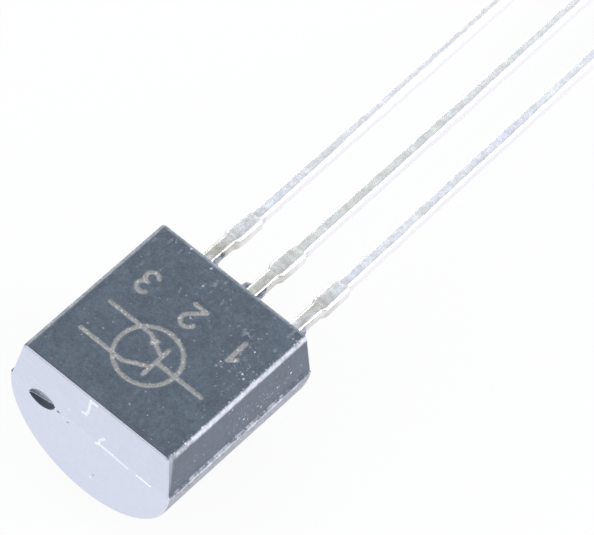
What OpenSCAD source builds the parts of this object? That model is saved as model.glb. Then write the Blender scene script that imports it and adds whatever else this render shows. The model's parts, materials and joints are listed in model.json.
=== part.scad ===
// Three-lead transistor in the half-round plastic outline (TO-92), with its lead frame, chip and bond wires.
// Millimetres. It lies on a flat surface as it comes to rest: on the lower edge of its round back and on
// the tips of its leads, with the flat face up. +X runs across the leads, +Y along them, +Z up.
// Each piece is drawn first in the moulding's own frame: the plane of the parting line is z = 0, the flat
// faces +Z, the leads run along +Y and the centre of the moulding is x = y = 0.

/* [Moulding] */
// Width across the parting line
body_w = 4.58; // [4.2:0.01:5.2]
// Length of the flat along the leads, to the sharp corners
flat_l = 4.48; // [4.2:0.01:5.1]
// Height of the flat above the parting line
flat_rise = 1.25; // [1.1:0.01:1.6]
// How far each side wall leans in between the parting line and the flat
wall_lean = 0.185; // [0.05:0.005:0.4]
// Radius of the two long edges of the flat
flat_edge_r = 0.13; // [0.05:0.01:0.25]
// Draft of the top end face, in degrees
top_draft = 2; // [0.5:0.1:8]
// Draft of the end face that the leads come out of, in degrees
lead_draft = 6; // [0.5:0.1:10]
// Bevel where the end faces meet the flat and the foot of the back
end_bevel = 0.05; // [0.02:0.005:0.1]
// Step at the parting line, where the back half stands proud of the front half
parting_step = 0.04; // [0.01:0.005:0.06]

/* [Gate and flash] */
// Width of the pit where the gate was broken off
gate_w = 0.76; // [0.4:0.01:1]
// Height of that pit
gate_h = 0.5; // [0.3:0.01:0.7]
// Depth of that pit
gate_depth = 0.12; // [0.04:0.01:0.25]
// Distance of the pit from the centre of the end face
gate_x = 1.36; // [0.9:0.01:1.5]
// Distance of the pit's middle below the parting line
gate_drop = 0.09; // [0:0.01:0.2]
// Tilt of the pit, in degrees
gate_tilt = 15; // [0:1:25]
// Longest run of resin flash along a lead
flash_l = 1.02; // [0.3:0.02:1.2]
// Width of the flash beside a lead
flash_w = 0.14; // [0.05:0.01:0.25]
// Thickness of the flash
flash_t = 0.2; // [0.05:0.01:0.3]

/* [Leads] */
// Spacing of the leads
pitch = 1.27; // [1.2:0.01:1.4]
// Width of a lead
lead_w = 0.32; // [0.28:0.01:0.5]
// Thickness of the lead frame
lead_t = 0.36; // [0.25:0.01:0.45]
// Length of the leads outside the moulding
lead_l = 14; // [12.5:0.1:16]
// Radius of the long edges of a lead
lead_edge_r = 0.08; // [0.01:0.005:0.1]
// Distance from the moulding to the stubs of the cut dam bar
dam_y = 1.49; // [1.4:0.01:2.2]
// Length of those stubs along the lead
dam_l = 0.73; // [0.4:0.01:1]
// How far a stub stands out from the side of the lead
dam_out = 0.06; // [0.02:0.01:0.12]
// Length of the flare that leads from the lead's side to a stub
dam_flare = 0.16; // [0.05:0.01:0.25]
// Bevel at the corners of a lead's tip
tip_bevel = 0.08; // [0.03:0.01:0.12]

/* [Lead frame inside] */
// Epoxy between the frame and the side walls
side_cover = 0.6; // [0.4:0.01:0.7]
// Epoxy between the die pad and the top end
end_cover = 0.85; // [0.5:0.01:1]
// Gap between neighbouring pieces of the frame
frame_gap = 0.4; // [0.25:0.01:0.5]
// Width of a lead inside the moulding
inner_w = 0.45; // [0.35:0.01:0.5]
// Length of the die pad
pad_l = 1.8; // [1.5:0.01:1.9]
// Width of the emitter's bonding post
emitter_post_w = 0.8; // [0.7:0.01:0.85]
// Length of the emitter's bonding post
emitter_post_l = 1.3; // [0.9:0.01:1.5]
// Width of the base's bonding post
base_post_w = 0.9; // [0.6:0.01:1]
// Length of the base's bonding post
base_post_l = 0.5; // [0.4:0.01:0.6]
// Width of the bars that lock a lead in the epoxy
lock_w = 0.66; // [0.55:0.01:0.8]
// Length of those bars
lock_l = 0.2; // [0.1:0.01:0.3]
// Epoxy between a lock bar and the lead end
lock_cover = 0.3; // [0.2:0.01:0.4]

/* [Chip and bond wires] */
// Side of the chip
die_w = 0.5; // [0.35:0.01:0.6]
// Distance from the chip's middle to the pad's edge on the emitter's side
die_inset_x = 0.87; // [0.6:0.01:1.1]
// Distance from the chip's middle to the pad's edge on the lead side
die_inset_y = 0.81; // [0.6:0.01:1]
// Thickness of the chip
die_t = 0.18; // [0.1:0.01:0.25]
// Thickness of the layer that bonds the chip to its pad
attach_t = 0.025; // [0.02:0.005:0.05]
// How far that layer shows around the chip
attach_margin = 0.03; // [0.01:0.005:0.06]
// Diameter of the bond wires
wire_d = 0.05; // [0.04:0.005:0.05]
// Height of a wire's loop over the line between its ends
wire_loop = 0.34; // [0.3:0.01:0.45]
// Diameter of the ball at the wire's foot
ball_d = 0.12; // [0.1:0.005:0.14]
// Height of that ball
ball_h = 0.05; // [0.05:0.005:0.07]
// Length of the pressed stitch at the wire's far end
stitch_l = 0.14; // [0.1:0.01:0.2]
// Height of that stitch
stitch_h = 0.04; // [0.04:0.005:0.06]

/* [Marking] */
// Width of the marking's strokes
stroke_w = 0.12; // [0.08:0.01:0.15]
// Depth of the marking
mark_depth = 0.02; // [0.01:0.005:0.04]
// Height of the pin numbers
digit_h = 0.72; // [0.5:0.01:0.8]
// Distance from the middle of the pin numbers to the lead end of the flat
digit_inset = 1.4; // [1.3:0.01:1.6]
// Radius of the ring of the transistor symbol
symbol_r = 0.76; // [0.6:0.01:0.8]
// Length of the symbol's connection lines, from its centre
symbol_reach = 1.5; // [1.2:0.01:1.6]
// Distance from the centre of the symbol to the middle of the pin numbers
symbol_inset = 1.42; // [1.3:0.01:1.5]

/* [Hidden] */
$fn = 64;
EPOXY = [0.16, 0.17, 0.19];
TIN = [0.82, 0.82, 0.83];
SILICON = [0.35, 0.37, 0.42];
ADHESIVE = [0.6, 0.6, 0.62];
GOLD = [0.86, 0.66, 0.25];

past = 1;          // how far a cutting shape reaches past what it cuts
merge = 0.02;      // overlap of two shapes that make one solid
back_r = body_w / 2;
flat_end = flat_l / 2;
// distance from the middle of the flat to each end face, at the parting line and where the lower bevel begins
top_end = flat_end + flat_rise * tan(top_draft);
lead_end = flat_end + flat_rise * tan(lead_draft);
heel_z = end_bevel - back_r;
top_heel = top_end + heel_z * tan(top_draft);
lead_heel = lead_end + heel_z * tan(lead_draft);
// the part rests on the back where the bevel of the lead end reaches it
foot_y = lead_heel - end_bevel;

// places across the leads: the emitter is on +X, the collector on -X
emitter_x = pitch;
base_x = 0;
collector_x = -pitch;
frame_edge = back_r - side_cover;
tip_y = lead_end + lead_l;
stub_w = lead_w + 2 * dam_out;
// height of the top stroke's centre line over the middle of a pin number
digit_top = (digit_h - stroke_w) / 2;

// die pad, from its edge by the top end to the edge that faces the leads
pad_y0 = -top_end + end_cover;
pad_y1 = pad_y0 + pad_l;
emitter_post_x = frame_edge - emitter_post_w;
pad_x0 = -frame_edge;
pad_x1 = emitter_post_x - frame_gap;
base_post_y0 = pad_y1 + frame_gap;
emitter_post_y1 = base_post_y0 + base_post_l;
emitter_post_y0 = emitter_post_y1 - emitter_post_l;
lock_y1 = lead_end - lock_cover;

// chip, on the pad near the two posts
die_x = pad_x1 - die_inset_x;
die_y = pad_y1 - die_inset_y;
die_top = attach_t + die_t;

// bond wires: [foot, far end], both in plan; the feet keep to the inner half of the chip
bond_spot = die_w / 4;
BASE_WIRE = [[die_x - bond_spot / 2, die_y + bond_spot], [base_x, base_post_y0 + base_post_l / 2]];
EMITTER_WIRE = [[die_x + bond_spot, die_y - bond_spot / 2],
    [emitter_post_x + emitter_post_w / 3, emitter_post_y0 + emitter_post_l / 3]];

// the part comes to rest on the lower edge of its back and on the tips of its leads
lie_angle = atan2(back_r - lead_t, tip_y - foot_y);
lie_lift = foot_y * sin(lie_angle) + back_r * cos(lie_angle);
reach_leads = tip_y * cos(lie_angle);
reach_top = top_heel * cos(lie_angle) - heel_z * sin(lie_angle);
lie_shift = (reach_leads - reach_top) / 2;

// Turns a piece from the moulding's own frame to the way that the part lies at rest
module laid() {
    translate([0, -lie_shift, lie_lift]) rotate([-lie_angle, 0, 0]) children();
}

// ---- moulding ----

// Section across the leads: drafted side walls with rounded upper edges, over a half-round back
module body_section() {
    wall_angle = atan2(wall_lean, flat_rise);
    front_w = back_r - parting_step;
    // the rounding touches the flat and the wall this far from their sharp corner
    tangent = flat_edge_r * tan((90 - wall_angle) / 2);
    arc_x = front_w - wall_lean - tangent;
    arc_y = flat_rise - flat_edge_r;
    wall_touch = [arc_x + flat_edge_r * cos(wall_angle), arc_y + flat_edge_r * sin(wall_angle)];
    intersection() {
        circle(r = back_r, $fn = 180);
        translate([-body_w, -body_w]) square([2 * body_w, body_w]);
    }
    polygon([[-front_w, -merge], [front_w, -merge], [front_w, 0], wall_touch, [arc_x, arc_y],
        [arc_x, flat_rise], [-arc_x, flat_rise], [-arc_x, arc_y], [-wall_touch.x, wall_touch.y],
        [-front_w, 0]]);
    for (side = [-1, 1]) translate([side * arc_x, arc_y]) circle(r = flat_edge_r);
}

// One half of the section along the leads: an end face that leans in from the parting line, with a bevel at
// its upper and its lower edge
module drafted_half(end, heel, draft) {
    brow_z = flat_rise - end_bevel;
    polygon([[0, flat_rise], [flat_end - end_bevel, flat_rise], [end - brow_z * tan(draft), brow_z], [end, 0],
        [heel, heel_z], [heel - end_bevel, -back_r], [0, -back_r]]);
}

// Section along the leads
module drafted_length() {
    drafted_half(lead_end, lead_heel, lead_draft);
    mirror([1, 0]) drafted_half(top_end, top_heel, top_draft);
}

module moulded_form() {
    intersection() {
        rotate([90, 0, 0]) linear_extrude(height = 2 * (lead_end + past), center = true) body_section();
        rotate([90, 0, 90]) linear_extrude(height = body_w + 2 * past, center = true) drafted_length();
    }
}

// Leaf-shaped pit in the top end, across the parting line, where the gate was broken off
module gate_pit() {
    // two equal circles that cross at the leaf's points
    leaf_r = (gate_w * gate_w + gate_h * gate_h) / (4 * gate_h);
    offset = leaf_r - gate_h / 2;
    translate([-gate_x, gate_depth - top_end, -gate_drop]) rotate([90, -gate_tilt, 0])
        linear_extrude(height = gate_depth + past)
            intersection_for (side = [-1, 1]) translate([0, side * offset]) circle(r = leaf_r);
}

// Resin flash beside a lead's root: a thin tongue that narrows away from the moulding
module flash(x, side, run) {
    root = lead_w / 2 + flash_w;
    waist = lead_w / 2 + 0.7 * flash_w;
    translate([x, lead_end, -flash_t]) linear_extrude(height = flash_t)
        polygon([[0, -merge], [side * root, -merge], [side * root, 0.45 * run], [side * waist, 0.7 * run],
            [side * lead_w / 2, run], [0, 0.6 * run]]);
}

module all_flash() {
    flash(collector_x, 1, flash_l);
    flash(base_x, 1, 0.95 * flash_l);
    flash(base_x, -1, 0.75 * flash_l);
    flash(emitter_x, 1, 0.7 * flash_l);
}

// ---- marking, drawn for a reader who holds the leads downwards ----

module stroke(from, to) {
    run = to - from;
    translate(from) rotate(atan2(run.y, run.x)) translate([0, -stroke_w / 2]) square([norm(run), stroke_w]);
    for (end = [from, to]) translate(end) circle(d = stroke_w, $fn = 24);
}

// Part of a ring, counter-clockwise from one angle to another, less than half a turn
module arc_stroke(centre, r, from, to) {
    reach = 2 * r + stroke_w;
    translate(centre) intersection() {
        difference() {
            circle(r = r + stroke_w / 2);
            circle(r = r - stroke_w / 2);
        }
        polygon([[0, 0], reach * [cos(from), sin(from)], reach * [cos((from + to) / 2), sin((from + to) / 2)],
            reach * [cos(to), sin(to)]]);
    }
    for (end = [from, to]) translate(centre + r * [cos(end), sin(end)]) circle(d = stroke_w, $fn = 24);
}

module digit_one() {
    hook = 0.2 * digit_h;
    stroke([0, -digit_top], [0, digit_top]);
    stroke([0, digit_top], [-hook, digit_top - hook]);
}

module digit_two() {
    r = 0.24 * digit_h;
    bowl = [0, digit_top - r];
    knee_angle = -35;
    arc_stroke(bowl, r, 60, 170);
    arc_stroke(bowl, r, knee_angle, 70);
    stroke(bowl + r * [cos(knee_angle), sin(knee_angle)], [-r, -digit_top]);
    stroke([-r, -digit_top], [r, -digit_top]);
}

module digit_three() {
    r = digit_top / 2;
    for (level = [-1, 1]) {
        arc_stroke([0, level * r], r, -90, 10);
        arc_stroke([0, level * r], r, 0, 90);
    }
    arc_stroke([0, r], r, 80, 150);
    arc_stroke([0, -r], r, -150, -80);
}

// Circuit symbol of an NPN transistor: ring, base bar, and lines to base, collector and emitter
module npn_symbol() {
    bar_x = -0.3 * symbol_r;
    bar_top = 0.55 * symbol_r;
    turn = symbol_r * [0.42, 0.62];
    root = [bar_x, 0.22 * symbol_r];
    arrow = 0.2 * symbol_r;
    difference() {
        circle(r = symbol_r + stroke_w / 2);
        circle(r = symbol_r - stroke_w / 2);
    }
    stroke([bar_x, -bar_top], [bar_x, bar_top]);
    stroke([-symbol_reach, 0], [bar_x, 0]);
    for (level = [-1, 1]) {
        stroke([root.x, level * root.y], [turn.x, level * turn.y]);
        stroke([turn.x, level * turn.y], [symbol_reach, level * turn.y]);
    }
    // the arrow head on the emitter
    tip = 0.2 * [root.x, -root.y] + 0.8 * [turn.x, -turn.y];
    translate(tip) rotate(atan2(root.y - turn.y, turn.x - root.x))
        polygon(arrow * [[1, 0], [-1, 1], [-1, -1]]);
}

module marking() {
    digit_v = digit_inset - flat_end;
    translate([0, 0, flat_rise - mark_depth]) rotate([0, 0, 180]) linear_extrude(height = mark_depth + past) {
        translate([-emitter_x, digit_v]) digit_one();
        translate([base_x, digit_v]) digit_two();
        translate([-collector_x, digit_v]) digit_three();
        translate([0, digit_v + symbol_inset]) npn_symbol();
    }
}

module moulding() {
    color(EPOXY) laid() difference() {
        union() {
            moulded_form();
            all_flash();
        }
        collector_shape();
        base_shape();
        emitter_shape();
        attach_shape();
        die_shape();
        wire_shape(BASE_WIRE);
        wire_shape(EMITTER_WIRE);
        gate_pit();
        marking();
    }
}

// ---- lead frame ----

// A plate of the frame, between two corners in plan, flush with the parting line on top
module plate(from, to) {
    translate([from.x, from.y, -lead_t]) cube([to.x - from.x, to.y - from.y, lead_t]);
}

// The lead outside the moulding: a bar with rounded long edges, a bevelled tip and the dam bar's stubs
module outer_lead(x) {
    edge = lead_w / 2;
    inset = edge - lead_edge_r;
    bevel = edge - tip_bevel;
    dam_y0 = lead_end + dam_y;
    dam_y1 = dam_y0 + dam_l;
    translate([x, 0, 0]) {
        intersection() {
            translate([0, tip_y, 0]) rotate([90, 0, 0]) linear_extrude(height = lead_l + merge) {
                translate([-edge, lead_edge_r - lead_t]) square([lead_w, lead_t - 2 * lead_edge_r]);
                translate([-inset, -lead_t]) square([2 * inset, lead_t]);
                for (side = [-1, 1], level = [-lead_edge_r, lead_edge_r - lead_t])
                    translate([side * inset, level]) circle(r = lead_edge_r, $fn = 32);
            }
            translate([0, 0, -lead_t - past]) linear_extrude(height = lead_t + 2 * past)
                polygon([[-bevel - tip_y, 0], [bevel + tip_y, 0], [bevel, tip_y], [-bevel, tip_y]]);
        }
        translate([0, 0, -lead_t]) linear_extrude(height = lead_t)
            polygon([[-edge, dam_y0 - dam_flare], [edge, dam_y0 - dam_flare], [stub_w / 2, dam_y0],
                [stub_w / 2, dam_y1], [-stub_w / 2, dam_y1], [-stub_w / 2, dam_y0]]);
    }
}

// The lead inside the moulding, from y0 out to the end face, with its lock bar
module inner_lead(x, y0) {
    plate([x - inner_w / 2, y0], [x + inner_w / 2, lock_y1]);
    plate([x - lock_w / 2, lock_y1 - lock_l], [x + lock_w / 2, lock_y1]);
    plate([x - lead_w / 2, lock_y1 - merge], [x + lead_w / 2, lead_end + merge]);
}

module collector_shape() {
    plate([pad_x0, pad_y0], [pad_x1, pad_y1]);
    inner_lead(collector_x, pad_y1 - merge);
    outer_lead(collector_x);
}

module base_shape() {
    plate([base_x - base_post_w / 2, base_post_y0], [base_x + base_post_w / 2, base_post_y0 + base_post_l]);
    inner_lead(base_x, base_post_y0);
    outer_lead(base_x);
}

module emitter_shape() {
    plate([emitter_post_x, emitter_post_y0], [frame_edge, emitter_post_y1]);
    inner_lead(emitter_x, emitter_post_y1 - merge);
    outer_lead(emitter_x);
}

module collector_lead() { color(TIN) laid() collector_shape(); }
module base_lead() { color(TIN) laid() base_shape(); }
module emitter_lead() { color(TIN) laid() emitter_shape(); }

// ---- chip and bond wires ----

module attach_shape() {
    side = die_w + 2 * attach_margin;
    translate([die_x - side / 2, die_y - side / 2, 0]) cube([side, side, attach_t]);
}

module die_shape() {
    translate([die_x - die_w / 2, die_y - die_w / 2, attach_t]) cube([die_w, die_w, die_t]);
}

// A ball on the chip, a loop of wire, and the stitch on the post
module wire_shape(ends) {
    run = ends[1] - ends[0];
    span = norm(run);
    // the loop is one arc, with its ends well inside the ball and the stitch
    foot_z = die_top + 0.6 * ball_h;
    end_z = 0.55 * stitch_h;
    chord = norm([span, foot_z - end_z]);
    loop_r = (chord * chord / 4 + wire_loop * wire_loop) / (2 * wire_loop);
    half = asin(chord / 2 / loop_r);
    slope = atan2(foot_z - end_z, span);
    translate([ends[0].x, ends[0].y, 0]) rotate([0, 0, atan2(run.y, run.x)]) {
        translate([0, 0, die_top]) cylinder(d = ball_d, h = ball_h, $fn = 32);
        translate([0, 0, foot_z]) rotate([90, 0, 0]) rotate(-slope)
            translate([chord / 2, wire_loop - loop_r]) rotate(90 - half)
                rotate_extrude(angle = 2 * half, $fn = 128)
                    translate([loop_r, 0]) circle(d = wire_d, $fn = 32);
        translate([span - stitch_l / 2, -wire_d * 0.75, 0]) cube([stitch_l, wire_d * 1.5, stitch_h]);
    }
}

module silicon_die() { color(SILICON) laid() die_shape(); }
module die_attach() { color(ADHESIVE) laid() attach_shape(); }
module base_bond_wire() { color(GOLD) laid() wire_shape(BASE_WIRE); }
module emitter_bond_wire() { color(GOLD) laid() wire_shape(EMITTER_WIRE); }

moulding();
collector_lead();
base_lead();
emitter_lead();
silicon_die();
die_attach();
base_bond_wire();
emitter_bond_wire();
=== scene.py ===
"""Three-lead transistor in the half-round moulded outline, lying on its back with the flat up.

The pieces are modelled in millimetres in the moulding's own frame and then laid in the row's frame.
In the moulding's frame the parting plane is z = 0, the flat faces +Z, the leads run along +Y and the
emitter lead is on +X.
"""
import json
import math
from functools import partial
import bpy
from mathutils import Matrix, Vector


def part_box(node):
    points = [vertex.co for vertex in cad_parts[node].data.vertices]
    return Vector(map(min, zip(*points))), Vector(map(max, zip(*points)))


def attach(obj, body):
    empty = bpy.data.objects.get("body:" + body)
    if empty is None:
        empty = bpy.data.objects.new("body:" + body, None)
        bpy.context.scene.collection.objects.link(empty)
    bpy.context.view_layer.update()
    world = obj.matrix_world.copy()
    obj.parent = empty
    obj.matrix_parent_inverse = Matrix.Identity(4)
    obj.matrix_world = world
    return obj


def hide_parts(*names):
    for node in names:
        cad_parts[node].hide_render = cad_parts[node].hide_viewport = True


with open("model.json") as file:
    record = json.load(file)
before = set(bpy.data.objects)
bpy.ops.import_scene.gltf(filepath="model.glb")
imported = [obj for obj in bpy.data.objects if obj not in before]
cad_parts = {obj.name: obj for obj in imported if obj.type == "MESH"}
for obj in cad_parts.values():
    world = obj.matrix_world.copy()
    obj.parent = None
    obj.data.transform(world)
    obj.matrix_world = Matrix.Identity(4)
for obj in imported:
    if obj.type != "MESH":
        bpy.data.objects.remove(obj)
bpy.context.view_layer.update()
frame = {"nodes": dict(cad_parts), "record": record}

from types import SimpleNamespace

import bpy
import numpy as np
from mathutils import Matrix, Vector, noise
from mathutils.geometry import delaunay_2d_cdt

bl_info = {
    "name": "Moulded transistor",
    "version": (1, 0, 0),
    "blender": (4, 5, 0),
    "location": "3D View > Sidebar > Transistor",
    "description": "Dresses a small moulded transistor and sets it on a pale stage",
    "category": "Object",
}

BODY = "root"

# ---- the way the part lies, from its two mounts ----

MM = 0.001
# a distance in millimetres beyond anything on the part
FAR = 1e3
MOUNTS = {mount["name"]: mount for mount in frame["record"]["mounts"]}
FLAT_CENTRE = Vector(MOUNTS["flat"]["pos_m"])
LEAD_TIPS = Vector(MOUNTS["leads"]["pos_m"])
OUT = Vector(MOUNTS["flat"]["axis"]).normalized()
ALONG = Vector(MOUNTS["leads"]["axis"]).normalized()
ACROSS = ALONG.cross(OUT)

LEAD_THICKNESS = 0.36
TIP_Y = (LEAD_TIPS - FLAT_CENTRE).dot(ALONG) / MM
FLAT_RISE = (FLAT_CENTRE - LEAD_TIPS).dot(OUT) / MM - LEAD_THICKNESS / 2
BODY_WIDTH = (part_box("moulding")[1].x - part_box("moulding")[0].x) / MM


def lay(points):
    """Rows of millimetres in the moulding's frame become rows of metres in the row's frame."""
    origin = np.array(FLAT_CENTRE - OUT * FLAT_RISE * MM)
    return origin + MM * np.asarray(points) @ np.array([ACROSS, ALONG, OUT])


# ---- properties ----

def length(name, description, millimetres):
    """A length that the user can change, kept in metres."""
    return bpy.props.FloatProperty(name=name, description=description, default=millimetres * MM,
                                   min=0, precision=5, unit="LENGTH")


def angle(name, description, degrees):
    """An angle that the user can change."""
    return bpy.props.FloatProperty(name=name, description=description, default=math.radians(degrees),
                                   unit="ROTATION")


def number(name, description, value):
    """A plain number that the user can change."""
    return bpy.props.FloatProperty(name=name, description=description, default=value, min=0)


def colour(name, description, value):
    """A colour that the user can change."""
    return bpy.props.FloatVectorProperty(name=name, description=description, default=value, min=0, max=1,
                                         size=3, subtype="COLOR")


class MouldingSettings(bpy.types.PropertyGroup):
    """Sizes and colours of the moulding."""
    width: length("Width", "Width across the parting line", BODY_WIDTH)
    flat_length: length("Flat length", "Length of the flat, to its sharp corners", 4.48)
    wall_lean: length("Wall lean", "How far a side wall leans in, from the parting line to the flat", 0.185)
    edge_radius: length("Long edge radius", "Radius of the two long edges of the flat", 0.13)
    end_radius: length("End edge radius", "Radius of the edges round the two end faces", 0.05)
    parting_step: length("Parting step", "How far the back half stands proud at the parting line", 0.04)
    top_draft: angle("Top draft", "Lean of the top end face", 2)
    lead_draft: angle("Lead end draft", "Lean of the end face that the leads come out of", 6)
    cell: length("Cell", "Size of the mesh cells on the flat", 0.028)
    ripple: length("Ripple", "Height of the soft ripple of the moulded faces", 0.002)
    tone: colour("Epoxy", "Colour of the epoxy", (0.089, 0.114, 0.145))
    # painted highlight: this pale colour marks rubbed scuffs and flash, and is painted on as highlights along
    # the flat's edges, on the front corner and on the pit's upper facet, and as a painted reflection on the
    # back
    rubbed_tone: colour("Rubbed epoxy", "Colour of the epoxy along its rubbed edges", (0.50, 0.52, 0.57))
    # painted reflection: the top end's base colour is painted pale for the floor's glancing reflection in the
    # dark epoxy; the sheen colour tints the shader's sheen over it
    waxed_tone: colour("Waxed epoxy", "Colour of the epoxy under the film of release wax on the top end",
                       (0.44, 0.46, 0.60))
    sheen_tone: colour("Sheen", "Colour of the wax film's sheen", (0.89, 0.92, 1.0))
    # this colour is also the painted highlight along the flat's right edge, carried by the chip mark
    worn_tone: colour("Worn epoxy", "Colour of chipped epoxy and of resin dust", (0.90, 0.91, 0.94))
    # this colour, at seven tenths, is also painted in the pit and the holes as painted shade, and on the
    # flat's rounded edge at the top end
    broken_tone: colour("Broken epoxy", "Colour of the epoxy where the gate broke off", (0.120, 0.137, 0.172))


class MarkingSettings(bpy.types.PropertyGroup):
    """Sizes and colour of the marking on the flat."""
    stroke: length("Stroke", "Width of the strokes", 0.12)
    depth: length("Depth", "Depth of the strokes", 0.02)
    digit_height: length("Digit height", "Height of the pin numbers", 0.72)
    digit_inset: length("Digit inset", "From the middle of the pin numbers to the lead end of the flat", 1.4)
    symbol_radius: length("Symbol radius", "Radius of the ring of the transistor symbol", 0.76)
    symbol_reach: length("Symbol reach", "Length of the symbol's lines, from its centre", 1.5)
    symbol_inset: length("Symbol inset", "From the symbol's centre to the middle of the pin numbers", 1.42)
    tone: colour("Marking", "Colour of the marking", (0.33, 0.33, 0.315))


class GateSettings(bpy.types.PropertyGroup):
    """Sizes of the gate's pit and of the resin flash."""
    width: length("Pit width", "Width of the pit where the gate broke off", 0.76)
    height: length("Pit height", "Height of the pit", 0.5)
    depth: length("Pit depth", "Depth of the pit", 0.12)
    inset: length("Pit place", "Distance of the pit from the centre of the end face", 1.36)
    drop: length("Pit drop", "Distance of the pit's middle below the parting line", 0.09)
    tilt: angle("Pit tilt", "Tilt of the pit", 15)
    flash_length: length("Flash length", "Longest run of flash along a lead", 1.02)
    flash_width: length("Flash width", "Width of the flash beside a lead", 0.14)
    flash_thickness: length("Flash thickness", "Thickness of the flash at its root", 0.2)


class LeadSettings(bpy.types.PropertyGroup):
    """Sizes and colour of the leads and of the frame inside."""
    pitch: length("Pitch", "Spacing of the leads", 1.27)
    width: length("Width", "Width of a lead", 0.32)
    thickness: length("Thickness", "Thickness of the lead frame", LEAD_THICKNESS)
    edge_radius: length("Edge radius", "Radius of the long edges of a lead", 0.08)
    dam_start: length("Stub start", "From the moulding to the stubs of the cut dam bar", 1.49)
    dam_length: length("Stub length", "Length of those stubs along the lead", 0.73)
    dam_out: length("Stub height", "How far a stub stands out from the side of the lead", 0.06)
    dam_flare: length("Flare", "Length of the flare from the lead's side to a stub", 0.16)
    tip_bevel: length("Tip bevel", "Bevel at the corners of a lead's tip", 0.08)
    side_cover: length("Side cover", "Epoxy between the frame and the side walls", 0.6)
    end_cover: length("End cover", "Epoxy between the die pad and the top end", 0.85)
    frame_gap: length("Frame gap", "Gap between neighbouring pieces of the frame", 0.4)
    inner_width: length("Inner width", "Width of a lead inside the moulding", 0.45)
    pad_length: length("Pad length", "Length of the die pad", 1.8)
    emitter_post: length("Emitter post", "Width of the emitter's bonding post", 0.8)
    emitter_post_length: length("Emitter post length", "Length of the emitter's bonding post", 1.3)
    base_post: length("Base post", "Width of the base's bonding post", 0.9)
    base_post_length: length("Base post length", "Length of the base's bonding post", 0.5)
    lock_width: length("Lock width", "Width of the bars that lock a lead in the epoxy", 0.66)
    lock_length: length("Lock length", "Length of those bars", 0.2)
    lock_cover: length("Lock cover", "Epoxy between a lock bar and the lead end", 0.3)
    tone: colour("Tin", "Colour of the tin plating", (0.96, 0.96, 0.95))
    olive_tone: colour("Olive tin", "Colour of the plating in its greener patches", (0.76, 0.79, 0.71))
    violet_tone: colour("Violet tin", "Colour of the plating in its bluer patches", (0.84, 0.85, 0.97))
    clean_tone: colour("Clean tin", "Colour of the plating on the sheared sides", (0.97, 0.97, 0.975))
    cut_tone: colour("Cut tin", "Colour of the plating round the cut faces of the stubs", (0.52, 0.52, 0.76))
    # this colour is also painted as shade in the flare before the stubs
    soil_tone: colour("Soil", "Colour of the flux and resin left near the moulding", (0.50, 0.48, 0.40))


class ChipSettings(bpy.types.PropertyGroup):
    """Colours of the chip and of what joins it to the leads."""
    silicon_tone: colour("Silicon", "Colour of the chip", (0.20, 0.21, 0.25))
    adhesive_tone: colour("Silver adhesive", "Colour of the layer that bonds the chip", (0.55, 0.55, 0.57))
    gold_tone: colour("Gold", "Colour of the bond wires", (0.86, 0.62, 0.22))


class StageSettings(bpy.types.PropertyGroup):
    """Floor, lamps and camera."""
    floor_tone: colour("Floor", "Colour of the floor", (0.93, 0.94, 0.95))
    mirror_tone: colour("Mirrored floor", "Colour of the floor in the part's reflections", (0.96, 0.96, 1.0))
    sky_tone: colour("Sky", "Light from all round", (0.61, 0.64, 0.685))
    whiteness: number("Whiteness", "Share of plain white in the floor as the camera sees it", 0.92)
    key_strength: number("Key strength", "Radiance of the key lamp", 2.4)
    edge_strength: number("Edge strength", "Radiance of the narrow lamp that lines the right edge", 13.6)
    edge_tone: colour("Edge lamp", "Colour of that narrow lamp", (0.95, 0.91, 1.0))
    rim_strength: number("Rim strength", "Radiance of the low lamp behind the part", 6.0)
    azimuth: angle("Azimuth", "Direction of the camera, from -Y towards +X", 38.0763)
    elevation: angle("Elevation", "Height of the camera over the floor, as an angle", 60.8362)
    roll: angle("Roll", "Roll of the camera", 3.5995)
    distance: length("Distance", "From the camera to the flat", 116.7353)
    aim_right: length("Aim right", "How far right of the flat's centre the camera aims", 2.782)
    aim_up: length("Aim up", "How far above the flat's centre the camera aims", 1.5326)
    lens: bpy.props.FloatProperty(name="Lens", description="Focal length of the camera", default=332.62,
                                  unit="CAMERA")


def setting_names(group):
    """The names of a group's own settings."""
    return [key for key in group.bl_rna.properties.keys() if key not in ("rna_type", "name")]


def in_millimetres(group):
    """The group's values by name: lengths in millimetres, other values as they are."""
    values = {}
    for key in setting_names(group):
        value = getattr(group, key)
        values[key] = value / MM if group.bl_rna.properties[key].unit == "LENGTH" else value
    return SimpleNamespace(**values)


# ---- small tools for shapes ----

def smooth(value, low, high):
    """0 where value is at low, 1 where it is at high, and an S-curve between them."""
    part = np.clip((value - low) / (high - low), 0, 1)
    return part * part * (3 - 2 * part)


def within(distance, reach, fade):
    """1 where a distance is well below a reach, 0 beyond the reach, and an S-curve between them."""
    return smooth(reach - distance, 0, fade)


def between(value, rise, fall):
    """1 between two ranges of value and 0 outside them, with an S-curve over each of the two."""
    return smooth(value, *rise) * smooth(-value, -fall[1], -fall[0])


def grain(points, scale, seed):
    """Noise between -1 and 1 at each row of an (n, 3) array, with scale cells in a millimetre.

    Each use has a seed of its own, which moves it to another part of the same noise.
    """
    shift = Vector((seed * 7.31, seed * 3.17, seed * 5.23))
    return np.array([noise.noise(Vector(point) * scale + shift) for point in points])


def at_y(section, y):
    """The (x, z) points of a section as rows of (x, y, z); y is one number or one for each point."""
    return np.c_[section[:, 0], np.broadcast_to(y, len(section)), section[:, 1]]


def line_distance(places, start, end):
    """Distance from each row of places to the line between two points."""
    run = np.subtract(end, start)
    part = np.clip((places - start) @ run / (run @ run), 0, 1)
    return np.hypot(*(places - start - part[:, None] * run).T)


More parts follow.
